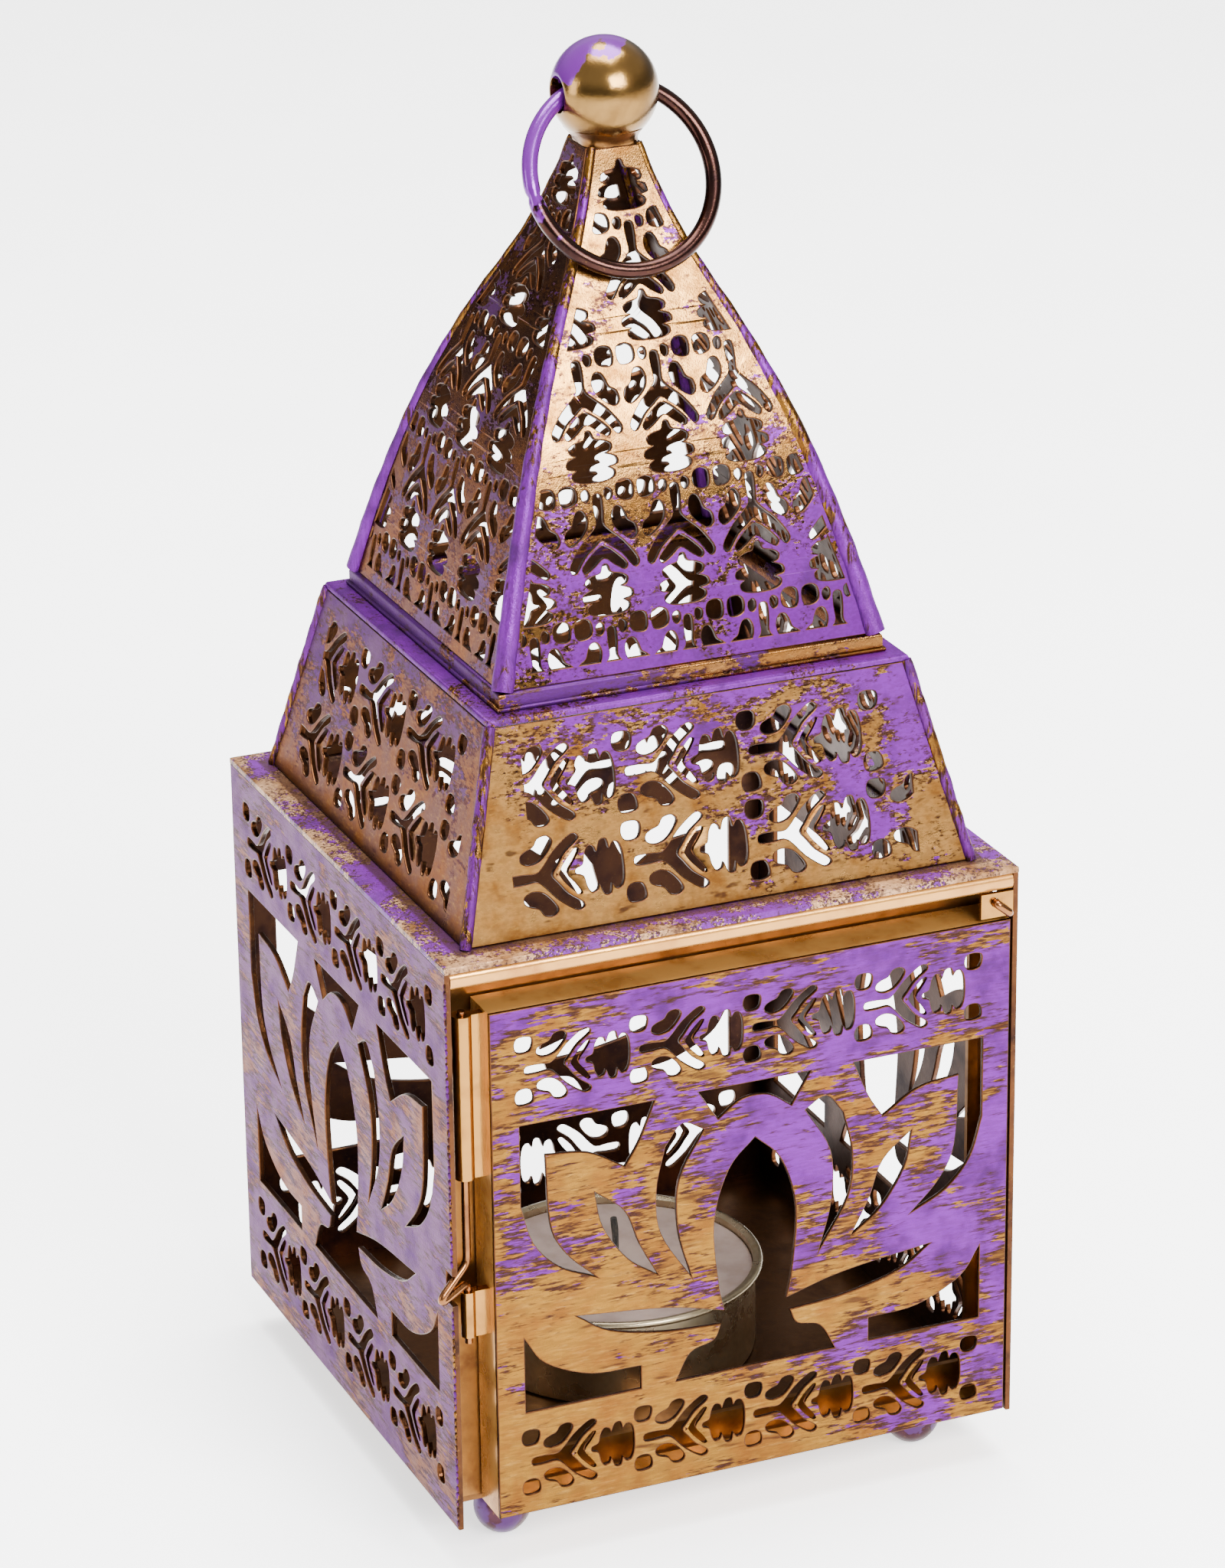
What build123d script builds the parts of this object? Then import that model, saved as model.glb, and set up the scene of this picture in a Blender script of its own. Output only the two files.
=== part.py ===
"""Moroccan style tealight lantern: a pierced square brass body with a hinged door, a sloping
skirt, a four-sided onion dome, a finial ball with a hanging ring, and a tealight on its floor.

Millimetres, +Z up. The origin is on the surface that the four feet stand on, under the middle
of the square body. The door is on the -Y side and turns on a wire at its left edge."""

from build123d import *
import math
import os

os.makedirs("parts", exist_ok=True)

# ---------------------------------------------------------------- driving dimensions
body_width = 80.0
body_height = 79.2
sheet = 0.8
thin_sheet = 0.6

foot_radius = 3.8
foot_spread = 30.0
foot_height = 7.0
foot_sink = 0.2

recess_depth = 6.8
frame_left = -32.0
frame_right = 36.4
frame_bottom = 5.0
frame_top = 70.0
rail_height = 2.4
rail_depth = 1.9
rail_round = 1.0
ledge_hole_margin = 1.2

door_left = -34.2
door_right = 38.9
door_bottom = 0.3
door_top = 72.0
door_depth = 6.5

hinge_x = -37.0
hinge_y = -37.6
wire_radius = 0.55
bore_radius = 0.62
upper_knuckle_radius = 1.3
upper_knuckle_span = (49.0, 71.6)
lower_knuckle_radius = 1.0
lower_knuckle_span = (26.6, 33.0)
hairpin_levels = (37.0, 34.2)
hairpin_tip = (-41.3, -39.6, 33.4)
notch_depth = 2.1
notch_span = (32.4, 36.6)
solder_half_width = 0.6
catch_plate_left = 34.6
catch_x = 36.6
catch_height = 74.7
catch_gap = 0.6

skirt_base = 35.6
skirt_top = 29.2
skirt_height = 26.6
bead_radius = 1.0
bead_sink = 0.3
bead_gap = 1.4
shoulder_height = 0.8
shoulder_inner = 25.4
shoulder_round = 0.5
rim_height = 2.4
rim_outer = 27.0
rim_inner = 24.6
rim_round = 0.6

# half width of the dome at heights above its base
dome_profile = [
    (26.2, 0.0), (23.2, 12.0), (18.9, 26.0), (13.9, 38.0), (8.9, 48.0), (5.7, 56.0), (3.9, 62.0),
]
ridge_radius = 1.1
ridge_bend_radius = 14.0
ridge_gap = 1.8

collar_radius = 4.1
collar_top_radius = 5.3
collar_height = 1.9
ball_radius = 6.95
ball_sink = 2.35
cross_hole_radius = 2.35

ring_radius = 12.35
ring_wire = 1.05
ring_rise = 1.05
ring_lean = 29.1

candle_radius = 19.4
candle_height = 13.0
candle_place = (-1.2, -1.0)
cup_wall = 0.35
cup_rim_radius = 20.4
cup_rim_height = 1.0
wax_drop = 1.2
wick_radius = 0.6
wick_height = 7.0
sustainer_radius = 6.0
sustainer_height = 0.5

# the lotus pattern is drawn for a window of this size and stretched to fit each panel
lotus_width = 65.4
lotus_height = 40.8
side_window = (68.9, 44.0)
side_window_bottom = 17.6
door_window = (65.4, 40.8)
door_window_bottom = 15.0

# ---------------------------------------------------------------- derived levels
half = body_width / 2
inner = half - sheet
body_z = foot_height
ledge_z = body_z + body_height
front_y = -half
catch_z = body_z + catch_height
frame_y = front_y + recess_depth
shoulder_z = ledge_z + skirt_height
rim_z = shoulder_z + shoulder_height
dome_z = rim_z + rim_height
neck_z = dome_z + dome_profile[-1][1]
ball_z = neck_z + collar_height + ball_radius - ball_sink
door_middle = (door_left + door_right) / 2


def save(shape, name):
    export_step(shape, f"parts/{name}.step")


def block(low, high):
    """A box between two corners."""
    size = [b - a for a, b in zip(low, high)]
    middle = [(a + b) / 2 for a, b in zip(low, high)]
    return Pos(*middle) * Box(*size)


def rod(start, end, radius):
    """A round rod between two points."""
    start, end = Vector(*start), Vector(*end)
    place = Plane(origin=start, z_dir=(end - start).normalized())
    return place * Cylinder(radius, (end - start).length, align=(Align.CENTER, Align.CENTER, Align.MIN))


def bent_wire(points, radius):
    """Rods from point to point, with a ball at each bend."""
    wire = rod(points[0], points[1], radius)
    for start, end in zip(points[1:], points[2:]):
        wire += rod(start, end, radius) + Pos(*start) * Sphere(radius)
    return wire


def tube(x, y, low, high, radius, bore):
    """An upright tube with its bore."""
    outside = rod((x, y, low), (x, y, high), radius)
    return outside - rod((x, y, low - 1), (x, y, high + 1), bore)


# ---------------------------------------------------------------- the lotus openings
def closed_face(edges):
    return make_face(Curve() + edges)


def mirrored(points):
    return [(-x, z) for x, z in reversed(points)]


def corner_opening():
    leg_outside = [(32.7, 29.5), (31.0, 24.0), (27.5, 20.0), (22.6, 17.6)]
    leg_inside = [(22.6, 17.6), (26.6, 21.6), (28.8, 26.4), (29.3, 36.2)]
    lobe = [(29.3, 36.2), (23.4, 35.4), (18.3, 32.4)]
    back = [(18.3, 32.4), (16.2, 35.8), (14.1, 40.8)]
    return closed_face([
        Line((14.1, 40.8), (32.7, 40.8)),
        Line((32.7, 40.8), (32.7, 29.5)),
        Spline(*leg_outside),
        Spline(*leg_inside),
        Spline(*lobe),
        Spline(*back),
    ])


def outer_leaf():
    outside = [(22.5, 29.5), (21.4, 24.4), (18.0, 19.2), (13.9, 16.1)]
    inside = [(13.9, 16.1), (16.4, 20.9), (18.4, 26.0), (22.5, 29.5)]
    return closed_face([Spline(*outside), Spline(*inside)])


def inner_leaf():
    top = [(7.2, 35.4), (10.2, 36.8), (12.6, 34.0)]
    outside = [(12.6, 34.0), (13.9, 28.0), (13.3, 21.8), (9.2, 14.9)]
    inside = [(9.2, 14.9), (11.0, 21.8), (10.8, 29.0), (7.2, 35.4)]
    return closed_face([Spline(*top), Spline(*outside), Spline(*inside)])


def crown_opening():
    arch = [(-5.2, 36.5), (-1.9, 38.7), (1.9, 38.7), (5.2, 36.5)]
    return closed_face([
        Line((5.2, 36.5), (7.9, 40.8)),
        Line((7.9, 40.8), (-7.9, 40.8)),
        Line((-7.9, 40.8), (-5.2, 36.5)),
        Spline(*arch),
    ])


def heart_opening():
    """The tall middle petal, its stem and foot, and the two long leaves beside the stem."""
    petal = [(0.0, 32.9), (3.7, 29.0), (5.8, 21.8), (5.2, 13.0), (4.4, 8.8)]
    leaf_top = [(4.4, 8.8), (12.7, 10.9), (25.2, 12.4)]
    leaf_under = [(25.2, 12.4), (20.6, 9.4), (13.0, 7.6), (4.9, 7.0)]
    foot = [(4.9, 7.0), (6.0, 4.8), (9.3, 3.7), (11.4, 0.0)]
    return closed_face([
        Spline(*petal),
        Spline(*leaf_top),
        Spline(*leaf_under),
        Spline(*foot),
        Line((11.4, 0.0), (-11.4, 0.0)),
        Spline(*mirrored(foot)),
        Spline(*mirrored(leaf_under)),
        Spline(*mirrored(leaf_top)),
        Spline(*mirrored(petal)),
    ])


def wedge_opening():
    bowl = [(32.6, 10.5), (29.8, 6.6), (23.5, 3.7), (16.4, 3.3)]
    return closed_face([
        Line((16.4, 3.3), (16.4, 0.0)),
        Line((16.4, 0.0), (32.6, 0.0)),
        Line((32.6, 0.0), (32.6, 10.5)),
        Spline(*bowl),
    ])


def lotus_cutter(window, bottom):
    """Upright prisms for all the openings, in the XZ plane, centred on x = 0."""
    one_side = [corner_opening(), outer_leaf(), inner_leaf(), wedge_opening()]
    faces = [crown_opening(), heart_opening()]
    for face in one_side:
        faces += [face, mirror(face, Plane.YZ)]
    stretch = (window[0] / lotus_width, window[1] / lotus_height, 1.0)
    prisms = []
    for face in faces:
        prism = extrude(scale(face, by=stretch), amount=1.5, dir=(0, 0, 1), both=True)
        prisms.append(Pos(0, 0, bottom) * Rot(90, 0, 0) * prism)
    return prisms


def cut_all(solid, cutters):
    for cutter in cutters:
        solid -= cutter
    return solid


# ---------------------------------------------------------------- lantern body
def foot(x, y):
    ball = Pos(x, y, foot_radius - foot_sink) * Sphere(foot_radius)
    return ball & block((x - 5, y - 5, 0), (x + 5, y + 5, foot_height))


def side_panel():
    """A pierced panel standing in the XZ plane, its outer face at y = -half."""
    plate = block((-half, front_y, body_z), (half, front_y + sheet, ledge_z - sheet))
    return cut_all(plate, [Pos(0, front_y + sheet / 2, 0) * c for c in
                           lotus_cutter(side_window, body_z + side_window_bottom)])


def front_frame():
    plate = block((-inner, frame_y, body_z + sheet), (inner, frame_y + sheet, ledge_z - sheet))
    return plate - block((frame_left, frame_y - 1, body_z + frame_bottom),
                         (frame_right, frame_y + 2, body_z + frame_top))


def front_rail():
    top = ledge_z - sheet
    bar = block((-inner, front_y, top - rail_height), (inner, front_y + rail_depth, top))
    front_edges = bar.edges().filter_by(Axis.X).group_by(Axis.Y)[0]
    return fillet(front_edges, rail_round)


def top_plate():
    plate = block((-half, -half, ledge_z - sheet), (half, half, ledge_z))
    hole = skirt_base - ledge_hole_margin
    return plate - block((-hole, -hole, ledge_z - 2), (hole, hole, ledge_z + 1))


def hinge_wire():
    top = (hinge_x, hinge_y, body_z + upper_knuckle_span[1] + 0.5)
    elbow = (hinge_x, hinge_y, body_z + hairpin_levels[0])
    low_elbow = (hinge_x, hinge_y, body_z + hairpin_levels[1])
    bottom = (hinge_x, hinge_y, body_z + lower_knuckle_span[0] - 1.0)
    tip_x, tip_y, tip_z = hairpin_tip
    tip = (tip_x, tip_y, body_z + tip_z + 0.4)
    low_tip = (tip_x, tip_y, body_z + tip_z - 0.4)
    return bent_wire([top, elbow, tip, low_tip, low_elbow, bottom], wire_radius)


def catch_plate():
    """Closes the right end of the recess above the door, and has a hole for the catch wire."""
    plate = block((catch_plate_left, front_y, body_z + door_top + catch_gap),
                  (inner, front_y + thin_sheet, ledge_z - sheet - rail_height))
    return plate - rod((catch_x, front_y - 1, catch_z), (catch_x, front_y + 1, catch_z), bore_radius)


def door_catch():
    """A wire through the catch plate that bends down to the door's free top corner."""
    nose_x, nose_y, nose_z = catch_x + 1.8, front_y - 0.8, catch_z - 1.5
    return bent_wire([(catch_x, front_y + thin_sheet, catch_z), (catch_x, nose_y, catch_z),
                      (nose_x, nose_y, nose_z), (nose_x, front_y - 0.1, nose_z)], wire_radius)


def mitred(sheet_solid, reach, gap):
    """Keeps the part of a front sheet that lies between the two diagonals, less a gap."""
    wedge = make_face(Polyline((0, -gap), (reach, -reach - gap), (-reach, -reach - gap), close=True))
    return sheet_solid & Pos(0, 0, ledge_z) * extrude(wedge, amount=120)


def skirt_panel():
    lean = math.hypot(skirt_height, skirt_base - skirt_top)
    inside = sheet * lean / skirt_height
    profile = make_face(Polyline(
        (-skirt_base, ledge_z), (-skirt_top, shoulder_z),
        (-skirt_top + inside, shoulder_z), (-skirt_base + inside, ledge_z), close=True))
    plate = extrude(Plane.YZ * profile, amount=skirt_base, both=True)
    return mitred(plate, 45, bead_gap)


def corner_bead():
    """The rod along the front left corner of the skirt."""
    low, high = skirt_base - bead_sink, skirt_top - bead_sink
    slope = (low - high) / skirt_height
    start = (-low - slope, -low - slope, ledge_z - 1)
    end = (-high + slope, -high + slope, shoulder_z + 1)
    slab = block((-half, -half, ledge_z), (0, 0, shoulder_z))
    return rod(start, end, bead_radius) & slab


def square_ring(outer, hole, low, high, round_radius):
    ring = block((-outer, -outer, low), (outer, outer, high))
    rim_edges = ring.edges().group_by(Axis.Z)[-1]
    return fillet(rim_edges, round_radius) - block((-hole, -hole, low - 1), (hole, hole, high + 1))


def dome_curve(inset):
    return [(-w + inset, dome_z + h) for w, h in dome_profile]


def dome_panel():
    outside = dome_curve(0)
    inside = dome_curve(sheet * 1.1)
    profile = make_face(Curve() + [
        Spline(*outside), Line(outside[-1], inside[-1]),
        Spline(*reversed(inside)), Line(inside[0], outside[0])])
    plate = extrude(Plane.YZ * profile, amount=30, both=True)
    return mitred(plate, 45, ridge_gap)


def dome_ridge():
    """A rod that follows the dome's front left corner in straight runs joined by arcs."""
    points = [(-(w - bead_sink) * math.sqrt(2), dome_z + h) for w, h in dome_profile]
    path = FilletPolyline(*points, radius=ridge_bend_radius)
    corner = Plane(origin=(0, 0, 0), x_dir=(1, 1, 0), z_dir=(1, -1, 0))
    route = corner * path
    profile = Plane(origin=route @ 0, z_dir=route % 0) * Circle(ridge_radius)
    tip = math.sqrt(2) * half
    slab = block((-tip, -tip, dome_z), (0, 0, neck_z))
    return sweep(profile, path=route) & slab


def ball_at_neck(radius):
    return Pos(0, 0, ball_z) * Sphere(radius)


def neck_collar():
    """The flared fillet that holds the ball on the dome."""
    top = neck_z + collar_height
    profile = make_face(Polyline(
        (0, neck_z), (collar_radius, neck_z), (collar_top_radius, top), (0, top), close=True))
    return revolve(Plane.XZ * profile, axis=Axis.Z) - ball_at_neck(ball_radius)


def finial_ball():
    hole = rod((-10, 0, ball_z), (10, 0, ball_z), cross_hole_radius)
    return ball_at_neck(ball_radius) - hole


# ---------------------------------------------------------------- door, ring and tealight
def door_panel():
    plate = block((door_left, front_y, body_z + door_bottom),
                  (door_right, front_y + thin_sheet, body_z + door_top))
    cutters = lotus_cutter(door_window, body_z + door_window_bottom)
    return cut_all(plate, [Pos(door_middle, front_y + thin_sheet / 2, 0) * c for c in cutters])


def door_edge():
    low_y, high_y = front_y + thin_sheet, front_y + door_depth
    outside = block((door_left, low_y, body_z + door_bottom), (door_right, high_y, body_z + door_top))
    hole = block((door_left + sheet, low_y - 1, body_z + door_bottom + sheet),
                 (door_right - sheet, high_y + 1, body_z + door_top - sheet))
    return outside - hole


def knuckle(span, radius):
    """A hinge tube and the solder strip that joins it to the door's left edge."""
    low, high = body_z + span[0], body_z + span[1]
    strip = block((hinge_x, hinge_y - solder_half_width, low),
                  (door_left, hinge_y + solder_half_width, high))
    strip -= rod((hinge_x, hinge_y, low - 1), (hinge_x, hinge_y, high + 1), radius - 0.1)
    return tube(hinge_x, hinge_y, low, high, radius, bore_radius) + strip


def hanging_ring():
    """The ring stands in the plane y = 0 below its pivot, then leans out over the door side."""
    ring = Pos(0, 0, ring_rise - ring_radius) * Rot(90, 0, 0) * Torus(ring_radius, ring_wire)
    return Pos(0, 0, ball_z) * Rot(-ring_lean, 0, 0) * ring


def candle():
    """A tealight in its cup with a rolled rim, standing loose and a little off the middle."""
    wax_top = candle_height - wax_drop
    wall = rod((0, 0, 0), (0, 0, candle_height), candle_radius)
    rim = rod((0, 0, candle_height - cup_rim_height), (0, 0, candle_height), cup_rim_radius)
    inside_radius = candle_radius - cup_wall
    inside = rod((0, 0, cup_wall), (0, 0, candle_height + 1), inside_radius)
    disc_top = cup_wall + sustainer_height
    disc = rod((0, 0, cup_wall), (0, 0, disc_top), sustainer_radius)
    wick = rod((0, 0, disc_top), (0, 0, wax_top + wick_height), wick_radius)
    wax = rod((0, 0, cup_wall), (0, 0, wax_top), inside_radius) - disc - wick
    pieces = {"candle_cup": wall + rim - inside, "candle_wax": wax, "candle_wick": wick,
              "wick_sustainer": disc}
    place = Pos(*candle_place, body_z + sheet)
    return {name: place * shape for name, shape in pieces.items()}


# ---------------------------------------------------------------- write every sub-part
sides = {"front": 0, "right": 90, "back": 180, "left": 270}
corners = {"front_left": 0, "front_right": 90, "back_right": 180, "back_left": 270}

save(block((-inner, frame_y, body_z), (inner, inner, body_z + sheet)), "floor_plate")
for name, (sx, sy) in {"front_left": (-1, -1), "front_right": (1, -1),
                       "back_left": (-1, 1), "back_right": (1, 1)}.items():
    save(foot(sx * foot_spread, sy * foot_spread), f"foot_{name}")

panel = side_panel()
notch = block((-half - 1, front_y - 1, body_z + notch_span[0]),
              (-inner + 1, front_y + notch_depth, body_z + notch_span[1]))
between = block((-inner, -half - 1, 0), (inner, half + 1, ledge_z))
save(Rot(0, 0, 270) * panel - notch, "left_panel")
save(Rot(0, 0, 90) * panel, "right_panel")
save((Rot(0, 0, 180) * panel) & between, "back_panel")

save(front_frame(), "front_frame")
save(front_rail(), "front_rail")
save(catch_plate(), "catch_plate")
save(door_catch(), "door_catch")
save(hinge_wire(), "hinge_wire")
save(top_plate(), "top_plate")

for name, turn in sides.items():
    save(Rot(0, 0, turn) * skirt_panel(), f"skirt_panel_{name}")
    save(Rot(0, 0, turn) * dome_panel(), f"dome_panel_{name}")
for name, turn in corners.items():
    save(Rot(0, 0, turn) * corner_bead(), f"skirt_bead_{name}")
    save(Rot(0, 0, turn) * dome_ridge(), f"dome_ridge_{name}")

save(square_ring(skirt_top, shoulder_inner, shoulder_z, rim_z, shoulder_round), "skirt_shoulder")
save(square_ring(rim_outer, rim_inner, rim_z, dome_z, rim_round), "dome_base_rim")
save(neck_collar(), "neck_collar")
save(finial_ball(), "finial_ball")

save(door_panel(), "door_panel")
save(door_edge(), "door_edge")
save(knuckle(upper_knuckle_span, upper_knuckle_radius), "upper_knuckle")
save(knuckle(lower_knuckle_span, lower_knuckle_radius), "lower_knuckle")

save(hanging_ring(), "hanging_ring")
for name, shape in candle().items():
    save(shape, name)

print("ball centre z", round(ball_z, 3), "top", round(ball_z + ball_radius, 3))
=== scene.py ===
"""Looks of the moroccan tealight lantern: pierced brass sheets with a violet patina, polished
fittings, a bronze ring and a tealight, on a pale studio floor.

Lengths are in millimetres, in the frame of the CAD model, and become metres when a mesh is made."""

import math
import random

import bmesh
import bpy
from mathutils import Matrix, Vector


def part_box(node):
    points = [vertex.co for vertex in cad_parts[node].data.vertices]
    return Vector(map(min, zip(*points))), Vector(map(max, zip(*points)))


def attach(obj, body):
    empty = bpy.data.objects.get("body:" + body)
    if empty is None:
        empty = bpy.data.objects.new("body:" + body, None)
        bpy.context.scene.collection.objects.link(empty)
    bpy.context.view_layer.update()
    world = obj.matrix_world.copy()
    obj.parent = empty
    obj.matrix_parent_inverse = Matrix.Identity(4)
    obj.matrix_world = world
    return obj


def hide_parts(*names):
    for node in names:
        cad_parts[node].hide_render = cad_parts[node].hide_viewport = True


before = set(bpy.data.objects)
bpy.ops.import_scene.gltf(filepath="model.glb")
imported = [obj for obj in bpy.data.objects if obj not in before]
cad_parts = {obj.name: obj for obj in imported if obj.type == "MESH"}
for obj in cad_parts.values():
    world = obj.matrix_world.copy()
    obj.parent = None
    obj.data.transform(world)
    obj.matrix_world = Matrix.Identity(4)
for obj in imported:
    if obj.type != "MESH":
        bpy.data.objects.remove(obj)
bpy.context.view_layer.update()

MM = 0.001
chance = random.Random(7)


def span(node):
    """The lowest and highest corner of a CAD node, in millimetres."""
    low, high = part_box(node)
    return low / MM, high / MM


# -------------------- places taken from the frame
SIDES = {"front": 0, "right": 90, "back": 180, "left": 270}
CORNERS = {"front_left": 0, "front_right": 90, "back_right": 180, "back_left": 270}

panel_low, panel_high = span("left_panel")
body_half = -panel_low.x
body_z = panel_low.z
panel_top = panel_high.z
sheet = panel_high.x - panel_low.x

door_low, door_high = span("door_panel")
door_sheet = door_high.y - door_low.y
door_back = span("door_edge")[1].y

ledge_low, ledge_high = span("top_plate")
ledge_z = ledge_high.z
shoulder_low, shoulder_high = span("skirt_shoulder")
rim_low, rim_high = span("dome_base_rim")
dome_z = rim_high.z
collar_low, collar_high = span("neck_collar")
ball_low, ball_high = span("finial_ball")
ball_z = (ball_low.z + ball_high.z) / 2
ball_radius = (ball_high.z - ball_low.z) / 2
cup_low, cup_high = span("candle_cup")
cup_middle = (cup_low + cup_high) / 2
cup_radius = (cup_high.x - cup_low.x) / 2
wax_top = span("candle_wax")[1].z
wick_top = span("candle_wick")[1].z

skirt_base = -span("skirt_panel_front")[0].y
skirt_top = shoulder_high.x
skirt_height = shoulder_low.z - ledge_z
skirt_slope = math.hypot(skirt_height, skirt_base - skirt_top)

# half width of the dome at heights above its base
DOME_PROFILE = [
    (26.2, 0.0), (23.2, 12.0), (18.9, 26.0), (13.9, 38.0), (8.9, 48.0), (5.7, 56.0), (3.9, 62.0),
]
HINGE_X, HINGE_Y = -37.0, -37.6
WIRE_RADIUS = 0.55
RING_RADIUS, RING_WIRE, RING_RISE = 12.35, 1.05, 1.05
RING_LEAN = math.radians(29.1)


# -------------------- node materials
class Recipe:
    """A material's node tree, with short calls for the nodes that the recipes share."""

    def __init__(self, name):
        self.material = bpy.data.materials.new(name)
        self.material.use_nodes = True
        self.tree = self.material.node_tree
        self.tree.nodes.clear()
        self.shader = self.tree.nodes.new("ShaderNodeBsdfPrincipled")
        output = self.tree.nodes.new("ShaderNodeOutputMaterial")
        self.tree.links.new(self.shader.outputs[0], output.inputs["Surface"])
        coordinates = self.tree.nodes.new("ShaderNodeTexCoord")
        self.place = self.scaled(coordinates.outputs["Object"], (1 / MM, 1 / MM, 1 / MM))

    def feed(self, socket, value):
        """Links a socket to another one, or sets its value. A colour is three numbers."""
        if isinstance(value, bpy.types.NodeSocket):
            self.tree.links.new(value, socket)
        elif socket.type == "RGBA":
            socket.default_value = (*value, 1)
        else:
            socket.default_value = value

    def set(self, **inputs):
        for name, value in inputs.items():
            self.feed(self.shader.inputs[name.replace("_", " ")], value)

    def scaled(self, vector, factors):
        node = self.tree.nodes.new("ShaderNodeVectorMath")
        node.operation = "MULTIPLY"
        self.feed(node.inputs[0], vector)
        node.inputs[1].default_value = factors
        return node.outputs[0]

    def along(self, direction, middle):
        """How far a point lies along a direction, measured from a middle point."""
        moved = self.tree.nodes.new("ShaderNodeVectorMath")
        moved.operation = "SUBTRACT"
        self.feed(moved.inputs[0], self.place)
        moved.inputs[1].default_value = middle
        node = self.tree.nodes.new("ShaderNodeVectorMath")
        node.operation = "DOT_PRODUCT"
        self.feed(node.inputs[0], moved.outputs[0])
        node.inputs[1].default_value = direction
        return node.outputs["Value"]

    def noise(self, size, detail=3.0, roughness=0.55, stretch=(1, 1, 1), shift=0.0, warp=0.0):
        """Noise between 0 and 1 whose features are about `size` millimetres across."""
        node = self.tree.nodes.new("ShaderNodeTexNoise")
        node.noise_dimensions = "4D"
        self.feed(node.inputs["Vector"], self.scaled(self.place, stretch))
        node.inputs["W"].default_value = shift
        node.inputs["Scale"].default_value = 1 / size
        node.inputs["Detail"].default_value = detail
        node.inputs["Roughness"].default_value = roughness
        node.inputs["Distortion"].default_value = warp
        return node.outputs["Fac"]

    def math(self, operation, first, second):
        node = self.tree.nodes.new("ShaderNodeMath")
        node.operation = operation
        self.feed(node.inputs[0], first)
        self.feed(node.inputs[1], second)
        return node.outputs[0]

    def square_reach(self):
        """How far a point is from the lantern's axis, measured square to its sides."""
        split = self.tree.nodes.new("ShaderNodeSeparateXYZ")
        self.feed(split.inputs[0], self.place)
        sideways = self.math("ABSOLUTE", split.outputs["X"], 0.0)
        return self.math("MAXIMUM", sideways, self.math("ABSOLUTE", split.outputs["Y"], 0.0))

    def ramp(self, value, start, end, low=0.0, high=1.0):
        """Goes smoothly from low to high while value goes from start to end."""
        node = self.tree.nodes.new("ShaderNodeMapRange")
        node.interpolation_type = "SMOOTHSTEP"
        self.feed(node.inputs["Value"], value)
        for name, number in (("From Min", start), ("From Max", end), ("To Min", low), ("To Max", high)):
            node.inputs[name].default_value = number
        return node.outputs["Result"]

    def mix(self, factor, first, second):
        node = self.tree.nodes.new("ShaderNodeMix")
        node.data_type = "RGBA"
        self.feed(node.inputs["Factor"], factor)
        self.feed(node.inputs[6], first)
        self.feed(node.inputs[7], second)
        return node.outputs[2]

    def bump(self, height, strength, distance=0.1):
        node = self.tree.nodes.new("ShaderNodeBump")
        self.feed(node.inputs["Height"], height)
        node.inputs["Strength"].default_value = strength
        node.inputs["Distance"].default_value = distance * MM
        self.feed(self.shader.inputs["Normal"], node.outputs[0])


GOLD = (0.175, 0.082, 0.013)
PALE_GOLD = (0.29, 0.155, 0.037)
DEEP_GOLD = (0.14, 0.054, 0.010)
BROWN = (0.03, 0.012, 0.008)
VIOLET = (0.105, 0.008, 0.19)
DEEP_VIOLET = (0.045, 0.007, 0.08)
# the next two colours are darker, duller copies of the violet and gold for the walls away from the front:
# painted shade
SHADED_MAUVE = (0.085, 0.028, 0.095)
SHADED_DULL_GOLD = (0.14, 0.070, 0.034)


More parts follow.
